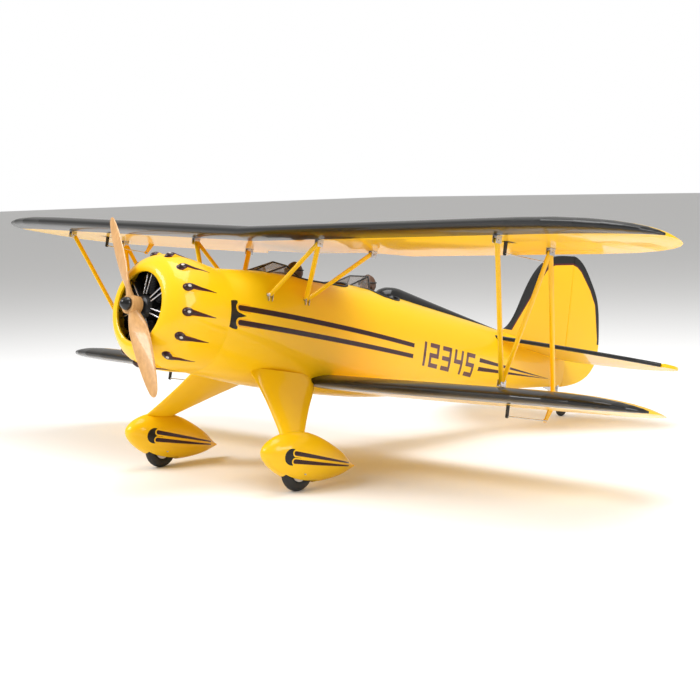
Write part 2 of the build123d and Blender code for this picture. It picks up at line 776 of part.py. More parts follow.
with BuildPart() as axle:
    with BuildSketch(Plane.YZ.offset(TRACK - 24)):
        with Locations((WHEEL_Y, WHEEL_Z)):
            Circle(AXLE_R)
    extrude(amount=48)
    with BuildSketch(Plane.YZ.offset(TRACK - 13.3), Plane.YZ.offset(TRACK + 9.3)):
        with Locations((WHEEL_Y, WHEEL_Z)):
            Circle(5)
            Circle(AXLE_R, mode=Mode.SUBTRACT)
    extrude(amount=4)
pieces["wheel_axles"] = gathered([*axle.solids(), *mirrored(axle.solids())])

with BuildPart() as wheel_hub:
    with BuildSketch(Plane.YZ.offset(TRACK - 8)):
        with Locations((WHEEL_Y, WHEEL_Z)):
            Circle(17)
    extrude(amount=16)
    with BuildSketch(Plane.YZ.offset(TRACK - 9)):
        with Locations((WHEEL_Y, WHEEL_Z)):
            Circle(7)
    extrude(amount=18)
    with BuildSketch(Plane.YZ.offset(TRACK - 9)):
        with Locations((WHEEL_Y, WHEEL_Z)):
            Circle(AXLE_R + RUN)
            with PolarLocations(12, 5):
                Circle(2.2)
    extrude(amount=18, mode=Mode.SUBTRACT)
both_sides("wheel_hub", wheel_hub.part)

with BuildPart() as tyre:
    with BuildSketch(Plane.XY):
        with Locations((0, WHEEL_R - 10)):
            Ellipse(TYRE_WIDTH / 2, 10)
        Rectangle(60, 34, mode=Mode.SUBTRACT)
    revolve(axis=Axis.X)
both_sides("tyre", Pos(TRACK, WHEEL_Y, WHEEL_Z) * tyre.part)

with BuildPart() as tail_wheel_bracket:
    with BuildSketch(Plane.XY.offset(-62)):
        with Locations((0, TAIL_PIVOT_Y)):
            Circle(5)
    extrude(amount=30)
    with BuildSketch(Plane.YZ.offset(-1.5)):
        with BuildLine():
            Polyline((TAIL_PIVOT_Y, -60), (TAIL_PIVOT_Y, -30), (1205, -30), (1205, -48), close=True)
        make_face()
    extrude(amount=3)
    add(outer, mode=Mode.SUBTRACT)
    with BuildSketch(Plane.XY.offset(-70)):
        with Locations((0, TAIL_PIVOT_Y)):
            Circle(2 + RUN)
    extrude(amount=24, mode=Mode.SUBTRACT)
pieces["tail_wheel_bracket"] = tail_wheel_bracket.part

with BuildPart() as tail_wheel_fork:
    with BuildSketch(Plane.XY.offset(-66)):
        with Locations((0, TAIL_PIVOT_Y)):
            Circle(2)
    extrude(amount=19)
    with BuildSketch(Plane.XY.offset(-66)):
        with Locations((0, (TAIL_PIVOT_Y + TAIL_WHEEL_Y) / 2)):
            RectangleRounded(17.6, 38, 4)
    extrude(amount=3.5)
    with BuildSketch(Plane.YZ.offset(-8.8)):
        with BuildLine():
            Polyline((1268, -63), (1284, -63), (1282, -96), (1274, -96), close=True)
        make_face()
    extrude(amount=2)
    with BuildSketch(Plane.YZ.offset(6.8)):
        with BuildLine():
            Polyline((1268, -63), (1284, -63), (1282, -96), (1274, -96), close=True)
        make_face()
    extrude(amount=2)
    with BuildSketch(Plane.YZ.offset(-10)):
        with Locations((TAIL_WHEEL_Y, TAIL_WHEEL_Z)):
            Circle(1.5)
    extrude(amount=20)
pieces["tail_wheel_fork"] = tail_wheel_fork.part

with BuildPart() as tail_wheel:
    with BuildSketch(Plane.YZ.offset(-5)):
        with Locations((TAIL_WHEEL_Y, TAIL_WHEEL_Z)):
            Circle(TAIL_WHEEL_R)
            Circle(1.5 + RUN, mode=Mode.SUBTRACT)
    extrude(amount=10)
    rims = tail_wheel.edges().filter_by(GeomType.CIRCLE).group_by(SortBy.RADIUS)[-1]
    fillet(rims, 3.5)
pieces["tail_wheel"] = tail_wheel.part

# ---------------------------------------------------------------- tail

FIN = [(1019, 66), (1041, 72), (1095, 152), (1153, 238), (1194, 260), (1234, 267), (1261.5, 270)]
RUDDER = [(1263, 270), (1297, 257), (1334, 223), (1368, 179), (1388, 108), (1393, 60), (1385, 24),
          (1363, -4), (1308, -31), (1263, -41)]
STAB_LE = [(0, 968), (40, 968), (100, 1015), (170, 1072), (235, 1132), (290, 1190), (311, 1217)]
ELEVATOR = [(311, 1217), (322, 1230), (329, 1252), (312, 1283), (260, 1304), (200, 1316), (140, 1312),
            (80, 1290), (30, 1268), (20, 1240)]


with BuildPart() as fin:
    with BuildSketch(Plane.YZ.offset(-FIN_THICK / 2)):
        with BuildLine():
            Spline(*FIN)
            Polyline(FIN[-1], (1261.5, 30), (1019, 30), FIN[0])
        make_face()
    extrude(amount=FIN_THICK)
    add(outer, mode=Mode.SUBTRACT)
pieces["fin"] = fin.part

with BuildPart() as rudder:
    with BuildSketch(Plane.XY.offset(-45)):
        with Locations((0, RUDDER_HINGE_Y)):
            Circle(RUDDER_NOSE_R)
        with BuildLine():
            Polyline((RUDDER_NOSE_R, RUDDER_HINGE_Y), (1.2, 1394), (-1.2, 1394),
                     (-RUDDER_NOSE_R, RUDDER_HINGE_Y), close=True)
        make_face()
    extrude(amount=320)
    with BuildSketch(Plane.YZ.offset(-10)):
        with BuildLine():
            Spline(*RUDDER)
            Line(RUDDER[-1], RUDDER[0])
        make_face()
    extrude(amount=20, mode=Mode.INTERSECT)
pieces["rudder"] = rudder.part

tail_plane = Plane(origin=(0, 0, tail_z(0)), x_dir=(1, 0, 0), z_dir=(0, TAIL_SLOPE, 1))
set_cosine = 1 / math.hypot(1, TAIL_SLOPE)


def along_tail(points):
    """Plan points as sketched on the tailplane's own sloping plane."""
    return [(x, y / set_cosine) for x, y in points]


with BuildPart() as stabiliser:
    with BuildSketch(tail_plane.offset(-FIN_THICK / 2)):
        with BuildLine():
            edge = along_tail(STAB_LE)
            back = (ELEVATOR_HINGE_Y - ELEVATOR_NOSE_R - 1) / set_cosine
            Line((0, edge[0][1]), edge[1])
            Spline(*edge[1:])
            Polyline(edge[-1], (edge[-1][0], back), (0, back), (0, edge[0][1]))
        make_face()
    extrude(amount=FIN_THICK)
    fillet(stabiliser.faces().filter_by(GeomType.EXTRUSION).edges().filter_by(GeomType.BSPLINE), 4)
    mirror(about=Plane.YZ)
    add(tail_wheel_bracket.part, mode=Mode.SUBTRACT)
pieces["stabiliser"] = stabiliser.part

hinge_local = ELEVATOR_HINGE_Y / set_cosine
joiner = round_bar((-34, ELEVATOR_HINGE_Y, tail_z(ELEVATOR_HINGE_Y)),
                   (34, ELEVATOR_HINGE_Y, tail_z(ELEVATOR_HINGE_Y)), JOINER_R)
pieces["elevator_joiner"] = joiner

with BuildPart() as elevator:
    with BuildSketch(Plane(origin=tail_plane.from_local_coords((16, 0, 0)),
                           x_dir=tail_plane.y_dir, z_dir=(1, 0, 0))):
        with Locations((hinge_local, 0)):
            Circle(ELEVATOR_NOSE_R)
        with BuildLine():
            Polyline((hinge_local, ELEVATOR_NOSE_R), (1320 / set_cosine, 1.2), (1320 / set_cosine, -1.2),
                     (hinge_local, -ELEVATOR_NOSE_R), close=True)
        make_face()
    extrude(amount=330)
    with BuildSketch(tail_plane.offset(-20)):
        with BuildLine():
            edge = along_tail(ELEVATOR)
            Spline(*edge)
            Polyline(edge[-1], (20, back - 2), (edge[0][0], back - 2), edge[0])
        make_face()
    extrude(amount=40, mode=Mode.INTERSECT)
    add(joiner, mode=Mode.SUBTRACT)
both_sides("elevator", elevator.part)

# ---------------------------------------------------------------- cockpits and deck


def pane(a, b, c):
    """A thin three-cornered pane."""
    origin = Vector(*a)
    plane = Plane(origin=origin, x_dir=Vector(*b) - origin,
                  z_dir=(Vector(*b) - origin).cross(Vector(*c) - origin))
    corners = [plane.to_local_coords(Vector(*p)) for p in (a, b, c)]
    with BuildPart() as sheet:
        with BuildSketch(plane):
            with BuildLine():
                Polyline(*[(p.X, p.Y) for p in corners], close=True)
            make_face()
        extrude(amount=0.5, both=True)
    return sheet.part


def across(point):
    return (-point[0], point[1], point[2])


front_ridge = ((0, 283, 102.5), (0, 327, 125.4))
front_low, front_high, front_back = (36, 283, 97.5), (35, 333, 119), (54, 370, 90)
rear_low, rear_high, rear_back = (31, 512, 102), (27, 566, 129), (36, 566, 99)

panes = [pane(front_ridge[0], front_ridge[1], front_high), pane(front_ridge[0], front_high, front_low),
         pane(front_low, front_high, front_back), pane(rear_low, rear_high, rear_back)]
panes += mirrored(panes)
panes += [pane(rear_low, rear_high, across(rear_high)), pane(rear_low, across(rear_high), across(rear_low))]
edges = [(front_ridge[0], front_ridge[1]), (front_ridge[1], front_high), (front_low, front_high),
         (front_high, front_back), (rear_low, rear_high), (rear_high, rear_back)]
edges += [(across(a), across(b)) for a, b in edges[1:]]
edges += [(rear_high, across(rear_high))]
bars = [round_bar(a, b, 1.2) for a, b in edges]

with BuildPart() as windshield_frames:
    add(bars)
    add(outer, mode=Mode.SUBTRACT)
pieces["windshield_frames"] = windshield_frames.part

with BuildPart() as windshields:
    add(panes)
    add(windshield_frames.part, mode=Mode.SUBTRACT)
    add(outer, mode=Mode.SUBTRACT)
pieces["windshields"] = gathered([pane for pane in windshields.solids() if pane.volume > 40])

# station y, half width, top, of the headrest and the ridge down the rear deck
RIDGE = [(627, 20, 104), (636, 25, 112), (651, 28, 116.5), (678, 27.5, 118), (720, 24, 112.5),
         (780, 20.5, 105.5), (860, 16.5, 95.5), (940, 12, 84), (1016, 6, 71.5)]

with BuildPart() as headrest:
    for y, half, top in RIDGE:
        with BuildSketch(Plane(origin=(0, y, 0), x_dir=(1, 0, 0), z_dir=(0, -1, 0))):
            with BuildLine():
                oval(half, (top - 44) / 2, 0, (top + 44) / 2)
            make_face()
    loft()
    add(outer, mode=Mode.SUBTRACT)
pieces["headrest"] = max(headrest.solids(), key=lambda solid: solid.volume)

cabin = hull(inset=SHELL + 0.6)

with BuildPart() as instrument_panels:
    for y in (344, 566):
        with BuildSketch(Plane(origin=(0, y, 0), x_dir=(1, 0, 0), z_dir=(0, -1, 0))):
            with Locations((0, 65)):
                Rectangle(200, 90)
            with Locations((0, 78)):
                with GridLocations(34, 1, 3, 1):
                    Circle(9, mode=Mode.SUBTRACT)
        extrude(amount=2.5)
    add(cabin, mode=Mode.INTERSECT)
pieces["instrument_panels"] = gathered(instrument_panels.solids())

with BuildPart() as seats:
    for y in (440, 634):
        with BuildSketch(Plane(origin=(0, y, 0), x_dir=(0, 1, 0), z_dir=(1, 0, 0)).offset(-26)):
            with BuildLine():
                Polyline((-52, -22), (-2, -26), (12, 52), (15, 52), (1, -29), (-52, -25), close=True)
            make_face()
        extrude(amount=52)
pieces["cockpit_seats"] = gathered(seats.solids())


def pilot(y, top):
    """A helmeted pilot's bust: shoulders, neck, head and goggles."""
    with BuildPart() as figure:
        for z, half_width, half_depth, back in ((-12, 22, 15, 26), (22, 27, 16, 24), (50, 28, 14, 21),
                                                (61, 20, 11, 19), (68, 9, 9, 17)):
            with BuildSketch(Plane.XY.offset(z)):
                with BuildLine():
                    oval(half_width, half_depth, 0, y + back)
                make_face()
        loft()
        with BuildSketch(Plane.XY.offset(64)):
            with Locations((0, y + 11)):
                Circle(8.5)
        extrude(amount=top - 92)
        for z, half_width, half_depth, back in ((top - 45, 8, 10, -3), (top - 38, 12, 15, -3),
                                                (top - 27, 15.5, 18, -1), (top - 16, 16.5, 19, 0),
                                                (top - 7, 13.5, 15.5, 0), (top - 1.5, 7, 8, 0),
                                                (top, 2, 2.5, 0)):
            with BuildSketch(Plane.XY.offset(z)):
                with BuildLine():
                    oval(half_width, half_depth, 0, y + back)
                make_face()
        loft()
    return figure.part


pieces["pilot_front"] = pilot(388, 133.5)
pieces["pilot_rear"] = pilot(596, 135.5)

with BuildPart() as radio_gear:
    with BuildSketch(Plane.XY.offset(-62)):
        with Locations((0, 780)):
            Rectangle(90, 150)
    extrude(amount=3)
    with BuildSketch(Plane.XY.offset(-58.8)):
        with Locations((-22, 750)):
            RectangleRounded(28, 52, 3)
    extrude(amount=18)
    with BuildSketch(Plane.XY.offset(-58.8)):
        with Locations((20, 750)):
            RectangleRounded(36, 64, 3)
    extrude(amount=30)
pieces["radio_gear"] = gathered(radio_gear.solids())

tail_servos = []
for x in (-24, 24):
    with BuildPart() as tail_servo:
        with BuildSketch(Plane.XY.offset(-58.8)):
            with Locations((x, 818)):
                RectangleRounded(20, 40, 1.5)
        extrude(amount=36)
        with BuildSketch(Plane.XY.offset(-22.8)):
            with Locations((x, 808)):
                Circle(9)
        extrude(amount=4)
    tail_servos.append(tail_servo.part)
pieces["servos"] = gathered([*servos, *tail_servos])

with BuildPart() as shell:
    add(pieces["fuselage"])
    add(stabiliser.part, mode=Mode.SUBTRACT)
pieces["fuselage"] = max(shell.solids(), key=lambda solid: solid.volume)

# ---------------------------------------------------------------- standing attitude

rise = TAIL_WHEEL_Z - WHEEL_Z
run = TAIL_WHEEL_Y - WHEEL_Y
STANCE = math.degrees(math.atan2(rise, run) + math.asin((WHEEL_R - TAIL_WHEEL_R) / math.hypot(rise, run)))

tipped = {name: shape.rotate(Axis.X, -STANCE) for name, shape in pieces.items()}
boxes = [shape.bounding_box() for shape in tipped.values()]
nose = min(box.min.Y for box in boxes)
stern = max(box.max.Y for box in boxes)
floor = min(box.min.Z for box in boxes)
standing = Pos(0, -(nose + stern) / 2, -floor)
for name, shape in tipped.items():
    piece = standing * shape
    piece.label = name
    export_step(piece, f"parts/{name}.step")
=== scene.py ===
import math

import bpy
from mathutils import Euler, Matrix, Vector


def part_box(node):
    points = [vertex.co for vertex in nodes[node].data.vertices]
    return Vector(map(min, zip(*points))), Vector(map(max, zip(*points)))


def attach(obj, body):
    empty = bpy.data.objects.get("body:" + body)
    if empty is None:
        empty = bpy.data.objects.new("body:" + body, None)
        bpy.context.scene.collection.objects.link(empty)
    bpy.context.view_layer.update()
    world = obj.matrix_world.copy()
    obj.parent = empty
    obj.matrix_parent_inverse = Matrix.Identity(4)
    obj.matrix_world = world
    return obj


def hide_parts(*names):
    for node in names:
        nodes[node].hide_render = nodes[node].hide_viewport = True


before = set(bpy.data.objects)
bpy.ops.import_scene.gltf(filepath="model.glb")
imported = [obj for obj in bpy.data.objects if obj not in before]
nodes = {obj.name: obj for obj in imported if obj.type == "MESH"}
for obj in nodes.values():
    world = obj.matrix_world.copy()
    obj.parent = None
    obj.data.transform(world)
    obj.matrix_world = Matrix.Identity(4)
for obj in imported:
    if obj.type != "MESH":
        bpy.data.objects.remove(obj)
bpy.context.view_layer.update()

MM = 0.001

# ---------------------------------------------------------------- the rigging frame
#
# The model is described level, in millimetres: origin at the propeller hub, +X to its left, +Y aft,
# +Z up. It stands tipped back by STANCE, with the hub at HUB in the scene's frame.

STANCE = math.radians(11.0913)
THRUST_TILT = math.radians(3.4)
WHEEL = Vector((206.8, 264.6, -272.2))      # left wheel's centre, rigging frame
wheel_low, wheel_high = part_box("tyre_left")
TIP = Matrix.Rotation(-STANCE, 4, "X")
HUB = (wheel_low + wheel_high) / 2 - (TIP @ WHEEL) * MM
TO_SCENE = Matrix.Translation(HUB) @ TIP @ Matrix.Scale(MM, 4)


def place(x, y, z):
    """A point of the rigging frame in the scene's frame."""
    return TO_SCENE @ Vector((x, y, z))


# ---------------------------------------------------------------- shader helpers

class Value:
    """A shader socket that can be added, multiplied and compared like a number."""

    def __init__(self, tree, socket):
        self.tree = tree
        self.socket = socket

    def op(self, kind, *others):
        node = self.tree.nodes.new("ShaderNodeMath")
        node.operation = kind
        for i, item in enumerate((self, *others)):
            if isinstance(item, Value):
                self.tree.links.new(item.socket, node.inputs[i])
            else:
                node.inputs[i].default_value = item
        return Value(self.tree, node.outputs[0])

    def __add__(self, other):
        return self.op("ADD", other)

    __radd__ = __add__

    def __sub__(self, other):
        return self.op("SUBTRACT", other)

    def __rsub__(self, other):
        return (self * -1) + other

    def __mul__(self, other):
        return self.op("MULTIPLY", other)

    __rmul__ = __mul__

    def __truediv__(self, other):
        return self.op("DIVIDE", other)

    def __lt__(self, other):
        return self.op("LESS_THAN", other)

    def __gt__(self, other):
        return self.op("GREATER_THAN", other)

    def absolute(self):
        return self.op("ABSOLUTE")

    def power(self, other):
        return self.op("POWER", other)

    def least(self, other):
        return self.op("MINIMUM", other)

    def most(self, other):
        return self.op("MAXIMUM", other)


def principled(name, colour, roughness=0.5, metallic=0.0, coat=0.0, coat_roughness=0.05, **extra):
    """A material with its Principled shader's plain settings; returns the material, tree and shader."""
    material = bpy.data.materials.new(name)
    material.use_nodes = True
    tree = material.node_tree
    shader = tree.nodes["Principled BSDF"]
    shader.inputs["Base Color"].default_value = (*colour, 1)
    shader.inputs["Roughness"].default_value = roughness
    shader.inputs["Metallic"].default_value = metallic
    shader.inputs["Coat Weight"].default_value = coat
    shader.inputs["Coat Roughness"].default_value = coat_roughness
    for key, value in extra.items():
        shader.inputs[key.replace("_", " ")].default_value = value
    return material, tree, shader


def mix(tree, mask, under, over):
    """A colour that is `over` where the mask is 1; colours are sockets or tuples."""
    node = tree.nodes.new("ShaderNodeMix")
    node.data_type = "RGBA"
    tree.links.new(mask.socket if isinstance(mask, Value) else mask, node.inputs["Factor"])
    for socket, colour in ((node.inputs[6], under), (node.inputs[7], over)):
        if isinstance(colour, tuple):
            socket.default_value = (*colour, 1)
        else:
            tree.links.new(colour, socket)
    return node.outputs[2]


def rigging(tree):
    """The surface point in the rigging frame, as three values in millimetres."""
    texture = tree.nodes.new("ShaderNodeTexCoord")
    shift = tree.nodes.new("ShaderNodeVectorMath")
    shift.operation = "SUBTRACT"
    shift.inputs[1].default_value = HUB
    tree.links.new(texture.outputs["Object"], shift.inputs[0])
    scale = tree.nodes.new("ShaderNodeVectorMath")
    scale.operation = "SCALE"
    scale.inputs["Scale"].default_value = 1 / MM
    tree.links.new(shift.outputs[0], scale.inputs[0])
    turn = tree.nodes.new("ShaderNodeVectorRotate")
    turn.rotation_type = "X_AXIS"
    turn.inputs["Angle"].default_value = STANCE
    tree.links.new(scale.outputs[0], turn.inputs["Vector"])
    split = tree.nodes.new("ShaderNodeSeparateXYZ")
    tree.links.new(turn.outputs[0], split.inputs[0])
    return [Value(tree, split.outputs[i]) for i in range(3)]


def noise(tree, scale, detail=4.0, stretch=(1, 1, 1)):
    """Object-space noise in metres."""
    texture = tree.nodes.new("ShaderNodeTexCoord")
    mapping = tree.nodes.new("ShaderNodeMapping")
    mapping.inputs["Scale"].default_value = stretch
    tree.links.new(texture.outputs["Object"], mapping.inputs["Vector"])
    node = tree.nodes.new("ShaderNodeTexNoise")
    node.inputs["Scale"].default_value = scale
    node.inputs["Detail"].default_value = detail
    tree.links.new(mapping.outputs[0], node.inputs["Vector"])
    return Value(tree, node.outputs["Fac"])


def bump(tree, shader, height, strength=0.2, distance=0.001):
    """Raise the surface by a value, through the shader's normal."""
    node = tree.nodes.new("ShaderNodeBump")
    node.inputs["Strength"].default_value = strength
    node.inputs["Distance"].default_value = distance
    tree.links.new(height.socket, node.inputs["Height"])
    tree.links.new(node.outputs[0], shader.inputs["Normal"])
    if shader.inputs["Coat Weight"].default_value > 0:
        tree.links.new(node.outputs[0], shader.inputs["Coat Normal"])


# ---------------------------------------------------------------- colours

YELLOW = (0.94, 0.56, 0.002)
YELLOW_DEEP = (0.90, 0.52, 0.002)
BLACK = (0.006, 0.006, 0.006)
DARK_MAROON = (0.022, 0.004, 0.004)
MAROON = (0.10, 0.006, 0.008)
ORANGE = (0.80, 0.22, 0.005)


def film(name):
    """Glossy heat-shrunk covering with a very faint unevenness; the base for every yellow surface."""
    material, tree, shader = principled(name, YELLOW, 0.42, coat=0.45, coat_roughness=0.04,
                                        Specular_IOR_Level=0.2)
    wave = noise(tree, 9.0, 2.0)
    bump(tree, shader, wave, 0.06, 0.003)
    tone = noise(tree, 3.0, 2.0)
    return material, tree, shader, mix(tree, tone, YELLOW, YELLOW_DEEP)


def finish_colour(tree, shader, colour):
    tree.links.new(colour, shader.inputs["Base Color"])


# wing plan: leading edge, chord, half span, tip length
WINGS = {"upper": (219.0, 278.0, 915.0, 234.0), "lower": (373.0, 275.0, 811.0, 205.0)}
TIP_POWER = 2.2
BAND = 0.185                # black leading-edge band, as a part of the local chord


def wing_material(level):
    """Yellow film with the black band round the leading edge."""
    le_y, chord, span, tip = WINGS[level]
    material, tree, shader, yellow = film(level + "_wing_film")
    x, y, _ = rigging(tree)
    out = ((x.absolute() - (span - tip)) / tip).most(0.0).least(1.0)
    local = chord * (1 - out.power(TIP_POWER)).most(0.0).power(1 / TIP_POWER)
    nose = le_y + (chord - local) * 0.5
    band = y < nose + local * BAND
    finish_colour(tree, shader, mix(tree, band, yellow, BLACK))
    return material


STRIPES = (173, 655)        # first and last station of the twin stripes
REAR_STRIPES = (898, 1206)  # and of the tapering pair behind the numerals


def fuselage_material():
    """Yellow film with the twin dark stripes running back from a black rounded head."""
    material, tree, shader, yellow = film("fuselage_film")
    x, y, z = rigging(tree)
    side = x.absolute() > 12
    back = (y - 165) / 483
    drop = back * back
    upper = 19.5 - drop * 15 - back * 5
    lower = -8 - drop * 8 - back * 7
    half = 5.4 - back * 0.9

    def stripe(centre, grow):
        """One stripe with a rounded front end."""
        bar = ((z - centre).absolute() < half + grow) * (y > STRIPES[0]) * (y < STRIPES[1])
        end = ((y - STRIPES[0]).power(2) + (z - centre).power(2)) < (half + grow).power(2)
        return bar.most(end)

    def both(grow):
        return stripe(upper, grow).most(stripe(lower, grow)) * side

    end = (y - REAR_STRIPES[0]) / 310
    taper = (1 - end).most(0.0)
    off = (z + 19 + end * 8).absolute()
    rear_run = (y > REAR_STRIPES[0]) * (y < REAR_STRIPES[1]) * side
    rear = (off > 5.0 * taper) * (off < 14.5 * taper) * rear_run
    rear_core = (off > 6.6 * taper) * (off < 12.6 * taper) * rear_run
    cap = (((y - 163) / 29).power(2) + ((z - 5.5) / 27).power(2) < 1.0) * (y < 168)
    prong = ((z - 5.5).absolute() < (187 - y) * 0.30) * (y > 160) * (y < 187)
    head = cap.most(prong) * side * (1 - both(4.2))
    colour = mix(tree, both(2.4) * (1 - both(1.2)) * (y < 196), yellow, ORANGE)
    colour = mix(tree, both(0).most(rear), colour, MAROON)
    colour = mix(tree, both(-1.3).most(rear_core), colour, DARK_MAROON)
    colour = mix(tree, head, colour, BLACK)
    finish_colour(tree, shader, colour)
    return material


PANT_STRIPES = (232, 386)   # first and last station of the small stripes
PANT_MIDDLE = -243.6        # height of their head


def pant_material():
    """Yellow paint with the small twin stripes on both faces of the wheel fairing."""
    material, tree, shader, yellow = film("pant_paint")
    x, y, z = rigging(tree)
    off = (x.absolute() - WHEEL.x).absolute()
    face = off > 6
    end = ((y - PANT_STRIPES[0]) / 156).most(0.0)
    half = 4.4 * (1 - end * 0.72)
    spread = 7.4 * (1 - end * 0.62)
    middle = PANT_MIDDLE - end * 6.0

    def stripe(centre, grow):
        bar = ((z - centre).absolute() < half + grow) * (y > PANT_STRIPES[0]) * (y < PANT_STRIPES[1])
        nose = ((y - PANT_STRIPES[0]).power(2) + (z - centre).power(2)) < (half + grow).power(2)
        return bar.most(nose)

    def both(grow):
        return stripe(middle + spread, grow).most(stripe(middle - spread, grow)) * face

    cap = (((y - 226) / 17).power(2) + ((z - PANT_MIDDLE) / 15.5).power(2) < 1.0) * (y < 229)
    prong = ((z - PANT_MIDDLE).absolute() < (246 - y) * 0.25) * (y > 222) * (y < 246)
    head = cap.most(prong) * face * (1 - both(2.6))
    colour = mix(tree, both(0), yellow, MAROON)
    colour = mix(tree, both(-1.0), colour, DARK_MAROON)
    colour = mix(tree, head, colour, BLACK)
    finish_colour(tree, shader, colour)
    return material


BLISTERS = 14


def cowl_material():
    """Yellow paint with a maroon and black teardrop round each rocker blister, a painted highlight on each
    blister's head and painted shade inside the cowl.
    """
    material, tree, shader, yellow = film("cowl_paint")
    x, y, z = rigging(tree)
    cosine, sine = math.cos(THRUST_TILT), math.sin(THRUST_TILT)
    station = y * cosine - z * sine
    up = y * sine + z * cosine
    radius = (x * x + up * up).power(0.5)
    turn = x.op("ARCTAN2", up) * (BLISTERS / (2 * math.pi)) + BLISTERS
    around = (turn.op("FRACT") - 0.5) * radius * (2 * math.pi / BLISTERS)
    off = around.absolute()
    outside = (radius > 99) * (station > 34)
    tail = (off < (113 - station) * 0.085 + 0.6) * (station > 47) * (station < 113)
    drop = ((station - 47) / 9.5).power(2) + (around / 8.2).power(2)
    # painted highlight: a pale grey spot on each blister's domed head stands in for its glint
    blister_highlight = ((station - 46) / 6.0).power(2) + (around / 5.0).power(2)
    mark = (drop < 1.0).most(tail) * outside
    inner_tail = (off < (108 - station) * 0.075 - 0.6) * (station > 47) * (station < 106)
    dark = ((drop < 0.72).most(inner_tail)) * outside
    colour = mix(tree, mark, yellow, MAROON)
    colour = mix(tree, dark, colour, DARK_MAROON)
    colour = mix(tree, (blister_highlight < 0.25) * outside, colour, (0.55, 0.50, 0.45))
    # painted shade: the cowl's inside surfaces are coloured near black where the recess falls dark
    cowl_inside_shade = ((radius < 82) * (station > 21)).most((radius < 93) * (station > 33))
    cowl_inside_shade = cowl_inside_shade.most((radius < 106.9) * (station > 62) * (station < 112))
    colour = mix(tree, cowl_inside_shade, colour, (0.02, 0.016, 0.012))
    finish_colour(tree, shader, colour)
    return material


# fin and rudder outline: (y, z) corners, in order over the top
TAIL_EDGE = [(1036, 64), (1095, 152), (1150, 232), (1166, 249), (1194, 260), (1260, 270), (1280, 266),
             (1297, 257), (1334, 223), (1368, 179), (1388, 108), (1393, 60)]
BAND_WIDTHS = [15, 15, 15, 16, 17, 17, 16, 14, 11, 8, 5]


def tail_material():
    """Yellow film with the black band and thin maroon line round the fin and over the rudder."""
    material, tree, shader, yellow = film("tail_film")
    _, y, z = rigging(tree)
    black = None
    maroon = None
    for (start, end), width in zip(zip(TAIL_EDGE, TAIL_EDGE[1:]), BAND_WIDTHS):
        length = math.dist(start, end)
        along = ((end[0] - start[0]) / length, (end[1] - start[1]) / length)
        inward = (y - start[0]) * along[1] - (z - start[1]) * along[0]
        here = inward < width
        near = inward < width * 1.22
        black = here if black is None else black.most(here)
        maroon = near if maroon is None else maroon.most(near)
    above = z > 72
    colour = mix(tree, maroon * above, yellow, MAROON)
    colour = mix(tree, black * above, colour, BLACK)
    finish_colour(tree, shader, colour)
    return material


STAB_EDGE = [(40, 968), (100, 1015), (170, 1072), (235, 1132), (290, 1190), (322, 1230)]


STAB_BAND = 7


def stab_material():
    """Yellow film with a thin black leading edge."""
    material, tree, shader, yellow = film("stab_film")
    x, y, _ = rigging(tree)
    black = None
    for start, end in zip(STAB_EDGE, STAB_EDGE[1:]):
        length = math.dist(start, end)
        along = ((end[0] - start[0]) / length, (end[1] - start[1]) / length)
        inward = (y - start[1]) * along[0] - (x.absolute() - start[0]) * along[1]
        here = inward < STAB_BAND
        black = here if black is None else black.most(here)
    finish_colour(tree, shader, mix(tree, black, yellow, BLACK))
    return material


def plain_film(name):
    material, tree, shader, yellow = film(name)
    finish_colour(tree, shader, yellow)
    return material


def speckled(name, colour, roughness, grain=60.0, strength=0.15, **extra):
    """One colour with a fine grain in tone and height."""
    material, tree, shader = principled(name, colour, roughness, **extra)
    value = noise(tree, grain, 5.0)
    darker = tuple(c * 0.72 for c in colour)
    finish_colour(tree, shader, mix(tree, value, darker, colour))
    bump(tree, shader, value, strength, 0.0004)
    return material


def wood_material(name, light, dark, grain=(1, 1, 0.06), coat=1.0):
    """Varnished wood with its grain along the piece."""
    material, tree, shader = principled(name, light, 0.4, coat=coat)
    rings = noise(tree, 260.0, 5.0, grain)
    finish_colour(tree, shader, mix(tree, ((rings - 0.38) * 2.4).most(0.0).least(1.0), light, dark))
    bump(tree, shader, rings, 0.08, 0.0003)
    return material


